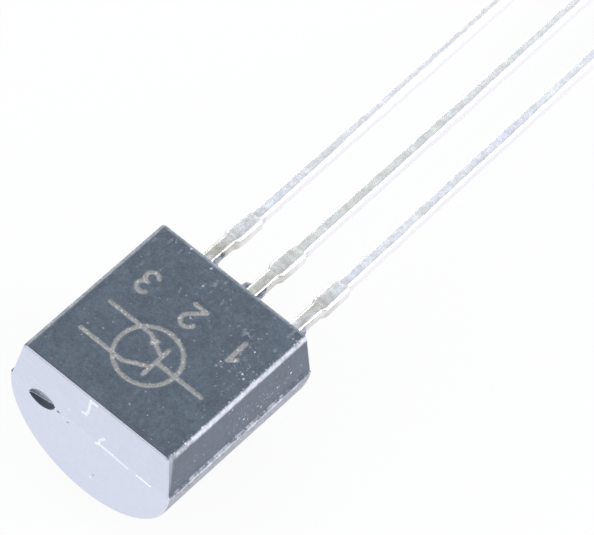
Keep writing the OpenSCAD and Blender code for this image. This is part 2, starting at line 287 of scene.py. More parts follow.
def arc_distance(places, centre, radius, start, end):
    """Distance from each row of places to an arc, counter-clockwise from start to end in degrees."""
    middle, half = math.radians((start + end) / 2), math.radians((end - start) / 2)
    offset = places - np.array(centre)
    turn = np.arctan2(offset[:, 1], offset[:, 0]) - middle
    turn = np.abs((turn + math.pi) % (2 * math.pi) - math.pi)
    to_ring = np.abs(np.hypot(*offset.T) - radius)
    tips = [radius * np.array([math.cos(middle + side * half), math.sin(middle + side * half)])
            for side in (-1, 1)]
    to_tips = np.minimum(*[np.hypot(*(offset - tip).T) for tip in tips])
    return np.where(turn <= half, to_ring, to_tips)


def arc(centre, radius, start, end, steps):
    """Points on an arc from one angle to another, in degrees, both ends included."""
    turns = np.radians(np.linspace(start, end, steps + 1))
    return np.stack([centre[0] + radius * np.cos(turns), centre[1] + radius * np.sin(turns)], -1)


def straight(start, end, steps):
    """Points on a line, both ends included."""
    return np.linspace(start, end, steps + 1)


def corner_normals(ring):
    """For each point of a closed ring, drawn clockwise, the way out that keeps its sides parallel."""
    after = np.roll(ring, -1, 0) - ring
    after /= np.hypot(*after.T)[:, None]
    out_after = np.stack([-after[:, 1], after[:, 0]], -1)
    out_before = np.roll(out_after, 1, 0)
    return (out_before + out_after) / (1 + (out_before * out_after).sum(1))[:, None]


def loft_faces(rows, columns, start=0):
    """Quads between neighbouring rows of a closed loft, each row a ring of so many columns."""
    faces = []
    for row in range(rows - 1):
        for column in range(columns):
            beside = (column + 1) % columns
            low, high = start + row * columns, start + (row + 1) * columns
            faces.append((low + column, low + beside, high + beside, high + column))
    return faces


def closed_loft(rings, start=0):
    """Points and faces of a loft closed with a face at each end."""
    rows, columns = rings.shape[:2]
    faces = loft_faces(rows, columns, start)
    faces.append(tuple(start + column for column in reversed(range(columns))))
    faces.append(tuple(start + (rows - 1) * columns + column for column in range(columns)))
    return rings.reshape(-1, 3), faces


def more_marks(marks, added, count):
    """The marks, made longer by those of count added points; a mark that these lack is 0 there."""
    return {key: np.r_[values, added.get(key, np.zeros(count))] for key, values in marks.items()}


SHARP_ANGLE = math.radians(35)


def make_piece(name, points, faces, materials, replaces, marks, finish=None):
    """A smooth-shaded object from millimetres in the moulding's frame, riding on the body.

    marks gives values for the points, by name, and finish which of the materials each face has.
    """
    mesh = bpy.data.meshes.new(name)
    mesh.from_pydata(lay(points).tolist(), [], faces)
    if mesh.validate():
        raise RuntimeError(name + ": its mesh had faces that do not hold")
    for key, values in marks.items():
        mesh.attributes.new(key, "FLOAT", "POINT").data.foreach_set("value", np.asarray(values, float))
    mesh.shade_smooth()
    mesh.set_sharp_from_angle(angle=SHARP_ANGLE)
    for material in materials:
        mesh.materials.append(material)
    if finish is not None:
        mesh.polygons.foreach_set("material_index", np.asarray(finish, np.int32))
    piece = bpy.data.objects.new(name, mesh)
    bpy.context.scene.collection.objects.link(piece)
    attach(piece, BODY)
    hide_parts(replaces)


# ---- shader tools ----

def node(tree, kind, inputs=None, **settings):
    """A node with its settings and inputs; an input is a value or another node's output."""
    made = tree.nodes.new("ShaderNode" + kind)
    for key, value in settings.items():
        setattr(made, key, value)
    for key, value in (inputs or {}).items():
        if isinstance(value, bpy.types.NodeSocket):
            tree.links.new(value, made.inputs[key])
        else:
            made.inputs[key].default_value = value
    return made


def maths(tree, operation, first, second=0.0, clamp=False):
    """The output of a Math node."""
    return node(tree, "Math", {0: first, 1: second}, operation=operation, use_clamp=clamp).outputs[0]


def plus(tree, first, second, clamp=False):
    """The sum of two values."""
    return maths(tree, "ADD", first, second, clamp)


def minus(tree, first, second, clamp=False):
    """The first value less the second."""
    return maths(tree, "SUBTRACT", first, second, clamp)


def times(tree, first, second, clamp=False):
    """The product of two values."""
    return maths(tree, "MULTIPLY", first, second, clamp)


def larger(tree, first, second):
    """The larger of two values."""
    return maths(tree, "MAXIMUM", first, second)


def mixed(tree, factor, first, second):
    """The colour between two colours."""
    return node(tree, "Mix", {0: factor, 6: first, 7: second}, data_type="RGBA").outputs[2]


def stretched(tree, value, low, high, to_low=0.0, to_high=1.0):
    """A value taken from one range to another, kept inside it."""
    return node(tree, "MapRange", {0: value, 1: low, 2: high, 3: to_low, 4: to_high}).outputs[0]


def place_in_millimetres(tree):
    """Object coordinates in millimetres."""
    spot = node(tree, "TexCoord").outputs["Object"]
    return node(tree, "VectorMath", {0: spot, "Scale": 1 / MM}, operation="SCALE").outputs[0]


def rgba(tone, gain=1.0):
    """A colour of three numbers as four."""
    return (*[channel * gain for channel in tone], 1.0)


def new_sockets(group, direction, names):
    """Adds float sockets to a node group, and gives them by name."""
    return {name: group.interface.new_socket(name, in_out=direction, socket_type="NodeSocketFloat")
            for name in names}


def cast_grain(group, given):
    """Fine cast grain: a height for a bump, and a slow mottle for tone."""
    spot = place_in_millimetres(group)
    fine = node(group, "TexNoise", {"Vector": spot, "Scale": given["Scale"], "Detail": 4.0, "Roughness": 0.6})
    slow = node(group, "TexNoise", {"Vector": spot, "Scale": given["Mottle Scale"], "Detail": 3.0,
                                    "Roughness": 0.55, "Distortion": 0.6})
    return {"Height": fine.outputs["Fac"], "Mottle": stretched(group, slow.outputs["Fac"], 0.3, 0.7)}


def specks(group, given):
    """Scattered round specks: 1 in a speck and 0 elsewhere. Coverage is the share of cells with one."""
    spot = place_in_millimetres(group)
    wobble = node(group, "TexNoise", {"Vector": spot, "Scale": 45.0, "Detail": 2.0})
    cells = node(group, "TexVoronoi", {"Vector": spot, "Scale": given["Scale"]}, feature="F1")
    # three random numbers for each cell: whether it has a speck, the speck's size, and its brightness
    chance, spread, glow = node(group, "SeparateColor", {0: cells.outputs["Color"]}).outputs
    chosen = maths(group, "LESS_THAN", chance, given["Coverage"])
    size = times(group, given["Size"], plus(group, spread, 0.35))
    uneven = times(group, minus(group, wobble.outputs["Fac"], 0.5), 2.2)
    far = plus(group, cells.outputs["Distance"], times(group, uneven, size))
    inside = minus(group, 1.0, maths(group, "DIVIDE", far, size), clamp=True)
    bright = times(group, stretched(group, inside, 0.0, 0.5), stretched(group, glow, 0.0, 1.0, 0.25, 1.0))
    return {"Mask": times(group, bright, chosen)}


def drawn_streaks(group, given):
    """Fine lines along the leads: a height for a bump, and a tone from 0 to 1."""
    spot = place_in_millimetres(group)
    squeeze = node(group, "CombineXYZ", {0: 1.0, 1: given["Stretch"], 2: 1.0}).outputs[0]
    long_spot = node(group, "VectorMath", {0: spot, 1: squeeze}, operation="MULTIPLY").outputs[0]
    lines = node(group, "TexNoise", {"Vector": long_spot, "Scale": given["Scale"], "Detail": 4.0,
                                     "Roughness": 0.6})
    lumps = node(group, "TexNoise", {"Vector": spot, "Scale": 3.2, "Detail": 2.0})
    return {"Height": plus(group, lines.outputs["Fac"], times(group, lumps.outputs["Fac"], 1.5)),
            "Tone": stretched(group, lumps.outputs["Fac"], 0.3, 0.7)}


# the inputs of each effect and their defaults
EFFECTS = {
    cast_grain: {"Scale": 20.0, "Mottle Scale": 2.0},
    specks: {"Scale": 6.0, "Size": 0.1, "Coverage": 0.2},
    drawn_streaks: {"Scale": 12.0, "Stretch": 0.08},
}


def effect_group(effect):
    """The node group of an effect, which is built the first time that it is asked for."""
    name = effect.__name__.replace("_", " ")
    if name not in bpy.data.node_groups:
        group = bpy.data.node_groups.new(name, "ShaderNodeTree")
        for key, socket in new_sockets(group, "INPUT", EFFECTS[effect]).items():
            socket.default_value = EFFECTS[effect][key]
        made = effect(group, group.nodes.new("NodeGroupInput").outputs)
        new_sockets(group, "OUTPUT", made)
        end = group.nodes.new("NodeGroupOutput")
        for key, value in made.items():
            group.links.new(value, end.inputs[key])
    return bpy.data.node_groups[name]


def placed(tree, effect, **inputs):
    """The outputs of an effect placed in a material; an input is a value or another node's output."""
    made = tree.nodes.new("ShaderNodeGroup")
    made.node_tree = effect_group(effect)
    for key, value in inputs.items():
        socket = made.inputs[key.replace("_", " ").title()]
        if isinstance(value, bpy.types.NodeSocket):
            tree.links.new(value, socket)
        else:
            socket.default_value = value
    return made.outputs


def new_material(name):
    """An empty material, its tree and its Principled shader."""
    material = bpy.data.materials.new(name)
    material.use_nodes = True
    return material, material.node_tree, material.node_tree.nodes["Principled BSDF"]


def mark_value(tree, name):
    """The value of one of the mesh's own marks."""
    return node(tree, "Attribute", attribute_name=name).outputs["Fac"]


def add_bump(tree, shader, height, strength, distance):
    """Gives the shader a bump whose full height is distance, in millimetres."""
    bump = node(tree, "Bump", {"Height": height, "Strength": strength, "Distance": distance * MM})
    tree.links.new(bump.outputs[0], shader.inputs["Normal"])


# each finish of the epoxy: its colour, how dark and how pale the mottle makes it, how smooth and how rough,
# and its index of refraction
EPOXY_FINISHES = {
    "moulded": ("tone", (0.5, 1.5), (0.26, 0.46), 1.5),
    # the top end: its base colour painted pale, a painted reflection, under a coat and a sheen
    "waxed": ("waxed_tone", (0.85, 1.15), (0.13, 0.20), 1.8),
    "broken": ("broken_tone", (0.6, 1.6), (0.6, 0.8), 1.3),
}
MOULDED, SHEEN_AND_PAINTED_REFLECTION, BROKEN = range(3)


def epoxy_mottle(tree, grains):
    """Slow clouds, patches and small flecks together, 0 to 1."""
    patches = placed(tree, cast_grain, scale=60.0, mottle_scale=7.0)
    flecks = placed(tree, cast_grain, scale=60.0, mottle_scale=24.0)
    mottle = plus(tree, times(tree, grains["Mottle"], 0.25), times(tree, patches["Mottle"], 0.3))
    return plus(tree, mottle, times(tree, flecks["Mottle"], 0.45))


def epoxy_chips(tree, worn):
    """Chips, crumbs along worn edges, resin dust with a haze of finer dust, and the painted highlight along
    the flat's right edge, 0 to 1.
    """
    cover = plus(tree, times(tree, mark_value(tree, "dusty"), 0.26), 0.015)
    dust = placed(tree, specks, scale=11.0, size=0.34, coverage=cover)["Mask"]
    haze = placed(tree, specks, scale=21.0, size=0.6, coverage=cover)["Mask"]
    dust = larger(tree, dust, times(tree, haze, 0.3))
    crumbs = placed(tree, specks, scale=15.0, size=0.45, coverage=0.8)["Mask"]
    chip = larger(tree, mark_value(tree, "chip"), times(tree, crumbs, worn))
    return larger(tree, chip, times(tree, dust, 0.85))


def epoxy_material(moulding, marking, finish):
    """Satin slate epoxy with pale etched strokes, chips and dust; or its top end finish, a coat and a sheen
    over a base colour painted pale as a painted reflection; or its broken finish.
    """
    tone_name, (dark, pale), (smoothest, roughest), ior = EPOXY_FINISHES[finish]
    tone = getattr(moulding, tone_name)
    material, tree, shader = new_material(finish + " epoxy")
    etch, worn, hollow = [mark_value(tree, key) for key in ("etch", "worn", "hollow")]
    grains = placed(tree, cast_grain, scale=26.0, mottle_scale=1.4)
    mottle = epoxy_mottle(tree, grains)

    body = mixed(tree, mottle, rgba(tone, dark), rgba(tone, pale))
    # lighter where rubbed, and where highlights and a reflection are painted
    body = mixed(tree, mark_value(tree, "rubbed"), body, rgba(moulding.rubbed_tone))
    # painted shade: darker in the pit and the holes of the top end, and on the flat's rounded edge at the top
    # end, where it damps a highlight
    body = mixed(tree, hollow, body, rgba(moulding.broken_tone, 0.7))
    glints = placed(tree, specks, scale=16.0, size=0.5, coverage=0.45)["Mask"]
    sparkle = plus(tree, stretched(tree, grains["Height"], 0.35, 0.7, 0.75, 1.3), glints)
    strokes = node(tree, "VectorMath", {0: rgba(marking.tone)[:3], "Scale": sparkle}, operation="SCALE")
    marked = mixed(tree, etch, body, strokes.outputs[0])
    # chips and dust, and the painted highlight along the flat's right edge
    chipped = mixed(tree, epoxy_chips(tree, worn), marked, rgba(moulding.worn_tone))
    tree.links.new(chipped, shader.inputs["Base Color"])

    rough = stretched(tree, mottle, 0, 1, smoothest, roughest)
    rougher = larger(tree, times(tree, etch, 0.4), times(tree, hollow, 0.6))
    tree.links.new(plus(tree, rough, rougher, clamp=True), shader.inputs["Roughness"])
    shader.inputs["IOR"].default_value = ior
    # the top end: coat and sheen over the base colour that is painted pale as a painted reflection
    if finish == "waxed":
        tree.links.new(minus(tree, 1.0, hollow), shader.inputs["Coat Weight"])
        shader.inputs["Coat IOR"].default_value = 2.5
        shader.inputs["Coat Roughness"].default_value = 0.08
        shader.inputs["Sheen Weight"].default_value = 1.0
        shader.inputs["Sheen Roughness"].default_value = 0.66
        shader.inputs["Sheen Tint"].default_value = rgba(moulding.sheen_tone)
    add_bump(tree, shader, grains["Height"], 0.5, 0.004)
    return material


def tin_material(leads):
    """Satin tin plating: lumpy from the dip, with soft streaks, a breath of colour, soil at the root and
    painted shade in the flare before the stubs.
    """
    material, tree, shader = new_material("tin plating")
    streaks = placed(tree, drawn_streaks, scale=9.0, stretch=0.25)
    grains = placed(tree, cast_grain, scale=9.0, mottle_scale=1.1)
    patches = placed(tree, cast_grain, scale=2.0, mottle_scale=2.6)["Mottle"]
    cool = mixed(tree, grains["Mottle"], rgba(leads.tone), rgba(leads.violet_tone))
    warm = mixed(tree, streaks["Tone"], rgba(leads.olive_tone), rgba(leads.tone, 0.8))
    tinged = plus(tree, mark_value(tree, "tint"), minus(tree, patches, 0.5), clamp=True)
    plated = mixed(tree, tinged, cool, warm)
    plated = mixed(tree, mark_value(tree, "clean"), plated, rgba(leads.clean_tone))
    plated = mixed(tree, mark_value(tree, "cut"), plated, rgba(leads.cut_tone))
    # soil near the moulding, and painted shade in the flare before the stubs
    soiled_and_shaded = times(tree, mark_value(tree, "soil"), stretched(tree, streaks["Height"], 0.9, 1.5), clamp=True)
    tree.links.new(mixed(tree, soiled_and_shaded, plated, rgba(leads.soil_tone)), shader.inputs["Base Color"])
    shader.inputs["Metallic"].default_value = 1.0
    tree.links.new(stretched(tree, grains["Height"], 0.3, 0.7, 0.32, 0.50), shader.inputs["Roughness"])
    add_bump(tree, shader, plus(tree, streaks["Height"], times(tree, grains["Height"], 0.4)), 0.35, 0.006)
    return material


def inner_material(name, tone, metallic, roughness, grain_scale):
    """A plain finish with fine grain, for the pieces inside the moulding."""
    material, tree, shader = new_material(name)
    grains = placed(tree, cast_grain, scale=grain_scale, mottle_scale=grain_scale / 8)
    body = mixed(tree, grains["Mottle"], rgba(tone, 0.85), rgba(tone, 1.1))
    tree.links.new(body, shader.inputs["Base Color"])
    shader.inputs["Metallic"].default_value = metallic
    rough = stretched(tree, grains["Height"], 0.3, 0.7, roughness * 0.8, roughness * 1.2)
    tree.links.new(rough, shader.inputs["Roughness"])
    add_bump(tree, shader, grains["Height"], 0.3, 0.003)
    return material


# ---- moulding ----

def end_places(size):
    """Two functions of z that give the y of the top end face and of the lead end face."""
    half = size.flat_length / 2
    top = half + FLAT_RISE * math.tan(size.top_draft)
    lead = half + FLAT_RISE * math.tan(size.lead_draft)
    return (lambda z: np.abs(z) * math.tan(size.top_draft) - top,
            lambda z: lead - np.abs(z) * math.tan(size.lead_draft))


# how many steps the section takes over the fillet beside the flat, down a side wall and round the back
FILLET_STEPS, WALL_STEPS, BACK_STEPS = 7, 16, 96


def section_ring(size):
    """The section across the leads, clockwise from the flat's left end, and how many points the flat has."""
    radius, front = size.width / 2, size.width / 2 - size.parting_step
    lean = math.atan2(size.wall_lean, FLAT_RISE)
    flat_half = front - size.wall_lean - size.edge_radius * math.tan((math.pi / 2 - lean) / 2)
    cells = 2 * round(flat_half / size.cell)
    top = straight((-flat_half, FLAT_RISE), (flat_half, FLAT_RISE), cells)
    fillet = arc((flat_half, FLAT_RISE - size.edge_radius), size.edge_radius, 90, math.degrees(lean),
                 FILLET_STEPS)
    wall = straight(fillet[-1], (front, 0), WALL_STEPS)
    side = np.vstack([fillet[1:], wall[1:], [(radius, 0)]])
    back = arc((0, 0), radius, 0, -180, BACK_STEPS)[1:-1]
    mirrored = side[::-1] * (-1, 1)
    return np.vstack([top, side, back, mirrored]), len(top)


def stroke_lines(mark):
    """The strokes of the three pin numbers and of the transistor symbol, each with its own centre."""
    top = (mark.digit_height - mark.stroke) / 2
    hook, bowl, foot = 0.2 * mark.digit_height, 0.24 * mark.digit_height, top / 2
    knee = math.radians(-35)
    one = [("line", (0, -top), (0, top)), ("line", (0, top), (-hook, top - hook))]
    two = [("arc", (0, top - bowl), bowl, -35, 170),
           ("line", (bowl * math.cos(knee), top - bowl + bowl * math.sin(knee)), (-bowl, -top)),
           ("line", (-bowl, -top), (bowl, -top))]
    three = [("arc", (0, foot), foot, -90, 150), ("arc", (0, -foot), foot, -150, 90)]
    ring = mark.symbol_radius
    bar, root, turn = -0.3 * ring, 0.22 * ring, (0.42 * ring, 0.62 * ring)
    symbol = [("arc", (0, 0), ring, -180, 180), ("line", (bar, -0.55 * ring), (bar, 0.55 * ring)),
              ("line", (-mark.symbol_reach, 0), (bar, 0))]
    for level in (-1, 1):
        symbol.append(("line", (bar, level * root), (turn[0], level * turn[1])))
        symbol.append(("line", (turn[0], level * turn[1]), (mark.symbol_reach, level * turn[1])))
    tip = (0.2 * bar + 0.8 * turn[0], -0.2 * root - 0.8 * turn[1])
    slope = math.atan2(root - turn[1], turn[0] - bar)
    symbol.append(("arrow", tip, 0.2 * ring, slope))
    return one, two, three, symbol


def arrow_distance(places, tip, reach, slope):
    """Distance outside an arrow head that points along a slope; negative inside it."""
    offset = places - np.array(tip)
    ahead = offset @ (math.cos(slope), math.sin(slope))
    aside = np.abs(offset @ (-math.sin(slope), math.cos(slope)))
    return np.maximum(-ahead - reach, (ahead - reach + 2 * aside) / math.sqrt(5))


def marking_distance(places, mark, pitch, flat_end):
    """Distance of places on the flat, as rows of (x, y), from the edge of a stroke; negative inside it."""
    reader = -places
    digits = mark.digit_inset - flat_end
    centres = ((-pitch, digits), (0, digits), (pitch, digits), (0, digits + mark.symbol_inset))
    nearest = np.full(len(places), FAR)
    for centre, lines in zip(centres, stroke_lines(mark)):
        local = reader - np.array(centre)
        for kind, *shape in lines:
            if kind == "arrow":
                nearest = np.minimum(nearest, arrow_distance(local, *shape))
            else:
                distance = (line_distance if kind == "line" else arc_distance)(local, *shape)
                nearest = np.minimum(nearest, distance - mark.stroke / 2)
    return nearest


def etched(points, on_flat, size, mark, pitch):
    """Sinks the strokes into the flat's points, and gives how far each point is inside a stroke, 0 to 1."""
    def edge_distance(places):
        ragged = grain(np.c_[places, np.zeros(len(places))], 14, 3)
        return marking_distance(places, mark, pitch, size.flat_length / 2) + 0.006 * ragged

    places = points[on_flat, :2]
    step = 0.001
    distance = edge_distance(places)
    slope = np.stack([edge_distance(places + shift) - distance for shift in ((step, 0), (0, step))], -1)
    slope /= step
    slope /= np.maximum(np.hypot(*slope.T), 0.3)[:, None]
    # points near the stroke's edge, and near the foot of its wall, are moved onto them
    wall = 1.1 * size.cell
    for level in (0.0, -wall):
        gap = distance - level
        near = np.abs(gap) < 0.42 * size.cell
        places[near] -= gap[near, None] * slope[near]
    distance = edge_distance(places)
    rough = grain(np.c_[places, np.ones(len(places))], 22, 5)
    points[on_flat, :2] = places
    points[on_flat, 2] -= smooth(-distance, 0, wall) * (mark.depth + 0.004 * rough)
    etch = np.zeros(len(points))
    etch[on_flat] = smooth(-distance, -0.004, 0.6 * wall)
    return etch


def pit_offset(places, gate):
    """How far rows of (x, z) on the top end lie along the gate's pit and above it, from its middle."""
    offset = places - np.array([-gate.inset, -gate.drop])
    return (offset @ (math.cos(gate.tilt), math.sin(gate.tilt)),
            offset @ (-math.sin(gate.tilt), math.cos(gate.tilt)))


def pit_distance(places, gate):
    """Distance of rows of (x, z) outside the gate's leaf-shaped pit; negative inside it."""
    leaf = (gate.width ** 2 + gate.height ** 2) / (4 * gate.height)
    along, above = pit_offset(places, gate)
    return np.hypot(along, np.abs(above) + leaf - gate.height / 2) - leaf


# seams and chips of the top end: start, end, width and height
TOP_SEAMS = (
    ((0.20, -0.10), (0.28, -0.03), 0.050, 0.01),
    ((0.28, -0.03), (0.68, -0.05), 0.058, 0.012),
    ((0.68, -0.05), (1.10, -0.09), 0.046, 0.01),
    ((0.28, -0.03), (0.29, 0.12), 0.048, 0.012),
    ((0.29, 0.12), (0.39, 0.27), 0.040, 0.01),
    ((1.36, -0.09), (1.76, -0.09), 0.024, 0.010),
    ((0.03, 1.15), (-0.12, 1.13), 0.062, 0.01),
    ((-0.12, 1.14), (-0.13, 0.74), 0.042, 0.01),
    ((-0.13, 0.74), (-0.18, 0.60), 0.046, 0.01),
    ((-0.17, 0.60), (-0.27, 0.58), 0.048, 0.01),
)
# round flecks and holes: centre, radius and height
TOP_DOTS = (((0.175, -1.53), 0.055, 0.02), ((-0.89, -0.09), 0.060, -0.05), ((-0.60, -0.19), 0.045, -0.03),
            ((0.23, -1.39), 0.034, -0.03), ((-0.74, -0.10), 0.035, 0.01), ((-1.6, 0.35), 0.03, 0.01))


def seam_distance(places):
    """Distance outside the nearest seam or chip of the top end."""
    gaps = [line_distance(places, start, end) - width for start, end, width, _ in TOP_SEAMS]
    gaps += [np.hypot(*(places - centre).T) - radius for centre, radius, _ in TOP_DOTS]
    return np.min(gaps, 0)


def top_relief(places, gate):
    """The top end's details at each place: height over its plane, marks, and whether it is broken epoxy."""
    spots = at_y(places, 0)
    crumble = grain(spots, 16, 11)
    coarse = grain(spots, 5, 12)
    along, above = pit_offset(places, gate) / np.array([[gate.width], [gate.height]])
    pit = pit_distance(places, gate) + 0.006 * crumble
    # painted shade: the pit is painted darker
    hollow = smooth(-pit, -0.02, -0.005)
    # the pit's upper level is shallow, with a thin pale crest along its foot
    deep = 1 - 0.8 * smooth(above, -0.02, 0.04)
    height = -gate.depth * smooth(-pit, -0.005, 0.06) * deep * (0.9 + 0.10 * coarse)
    chip = hollow * within(np.abs(above - 0.03 - 0.02 * crumble) * gate.height, 0.021, 0.010)
    # the pit's upper facet is painted lighter towards its far end and its top: a painted highlight
    rubbed = hollow * smooth(above, -0.01, 0.03) * (0.15 + 0.4 * smooth(along, -0.4, 0.3)
                                                    + 0.35 * smooth(above, 0.08, 0.42))
    broken = hollow > 0.5
    for start, end, width, rise in TOP_SEAMS:
        seam = within(line_distance(places, start, end), width * (1 + 0.12 * crumble), 0.35 * width)
        height += seam * rise
        chip = np.maximum(chip, seam)
    for centre, radius, rise in TOP_DOTS:
        dot = within(np.hypot(*(places - centre).T), radius, 0.7 * radius)
        height += dot * rise
        if rise > 0:
            chip = np.maximum(chip, dot)
        else:
            # holes are painted darker: painted shade
            hollow = np.maximum(hollow, dot)
    return height, {"chip": chip, "hollow": hollow * (1 - chip) * (1 - rubbed), "rubbed": rubbed}, broken


def top_detail(places, gate):
    """Distance of places on the top end from its nearest detail; negative where the mesh has to be fine."""
    return np.minimum(pit_distance(places, gate), seam_distance(places)) - 0.03


def lead_end_relief(places):
    """The same as top_relief for the lead end, which has only the faint seam of the parting line."""
    seam = within(np.abs(places[:, 1]), 0.02, 0.014)
    return seam * 0.012 * (1 + grain(at_y(places, 1), 9, 13)), {}, np.zeros(len(places), bool)


def no_detail(places):
    """The same as top_detail for an end without detail."""
    return np.ones(len(places))


# heights of the rows of points that carry the seam of the parting line over an end face
SEAM_ROWS = (-0.018, 0.0, 0.018)
# as shares of the plain spacing: the spacing where there is detail, and how near the border points may lie
FINE_SHARE, MARGIN_SHARE = 0.4, 0.45


def inside_ring(places, border):
    """Whether each place is inside a ring, by the even-odd rule, and its distance from the ring."""
    inside = np.zeros(len(places), bool)
    margin = np.full(len(places), FAR)
    for start, end in zip(border, np.roll(border, -1, 0)):
        crosses = (start[1] > places[:, 1]) != (end[1] > places[:, 1])
        if start[1] != end[1]:
            at = start[0] + (places[:, 1] - start[1]) * (end[0] - start[0]) / (end[1] - start[1])
            inside ^= crosses & (places[:, 0] < at)
        margin = np.minimum(margin, line_distance(places, start, end))
    return inside, margin


def face_triangles(border, spacing, detail):
    """Fills a ring of (x, z) points: the points added inside it, and triangles over border and added points.

    The added points lie closer together where detail, a distance, is negative.
    """
    low, high = border.min(0), border.max(0)
    parts = []
    for step, fine in ((spacing, False), (FINE_SHARE * spacing, True)):
        rows = np.arange(low[1], high[1], step)
        if not fine:
            rows = np.sort(np.r_[rows[np.abs(rows) > 0.7 * step], SEAM_ROWS])
        x, z = np.meshgrid(np.arange(low[0], high[0], step), rows)
        x += (np.arange(len(rows)) % 2)[:, None] * step / 2
        grid = np.stack([x.ravel(), z.ravel()], -1)
        parts.append(grid[(detail(grid) < 0) == fine])
    added = np.vstack(parts)
    inside, margin = inside_ring(added, border)
    added = added[inside & (margin > spacing * MARGIN_SHARE)]
    everything = np.vstack([border, added])
    ring = list(range(len(border)))
    found = delaunay_2d_cdt([Vector(place) for place in everything.tolist()], [], [ring], 1, 1e-7)
    if len(found[0]) != len(everything):
        raise RuntimeError("the end face's points do not keep their places")
    return added, [tuple(found[3][corner][0] for corner in face) for face in found[2]]


# rows of the mesh round the rounded edge of an end face, and rows of it that have the top end's finish with
# its painted reflection
EDGE_STEPS, PAINTED_REFLECTION_ROWS = 5, 3


def side_rings(ring, size):
    """The section's ring repeated from the top end to the lead end, with the edges of both ends rounded."""
    out = corner_normals(ring)
    top_y, lead_y = end_places(size)
    turns = np.radians(np.linspace(90, 0, EDGE_STEPS + 1))
    insets, backs = size.end_radius * (1 - np.cos(turns)), size.end_radius * (1 - np.sin(turns))

    def edge_rings(surface, inward):
        places = [ring - inset * out for inset in insets]
        return [at_y(place, surface(place[:, 1]) + inward * back) for place, back in zip(places, backs)]

    top, foot = edge_rings(top_y, 1), edge_rings(lead_y, -1)[::-1]
    cells = round((size.flat_length - 2 * size.end_radius) / size.cell)
    first, last = top[-1][:, 1], foot[0][:, 1]
    middle = [at_y(ring, first + (last - first) * part) for part in np.arange(1, cells) / cells]
    return np.array(top + middle + foot)


def tear_ledge(points, to_end):
    """Makes the edge of the parting ledge ragged, except near the ends; points are those on the edge."""
    tear = grain(points, 6, 4) + 0.6 * grain(points, 19, 6)
    calm = smooth(to_end, 2, 10)
    points[:, 0] += np.sign(points[:, 0]) * (0.006 + 0.014 * tear) * calm
    points[:, 2] += (0.001 + 0.006 * tear) * calm
    return points


# x and z of the flat's two long edges as they are worn, and of the painted highlight line along each
RIGHT_EDGE, RIGHT_HIGHLIGHT = (2.06, 1.18), (2.072, 1.18)
LEFT_EDGE, LEFT_HIGHLIGHT = (-2.05, 1.2), (-2.02, 1.235)
# middle of the dusty patch on the flat, and its half width and half length
DUST_PATCH = ((1.45, 0.7), (0.75, 1.0))


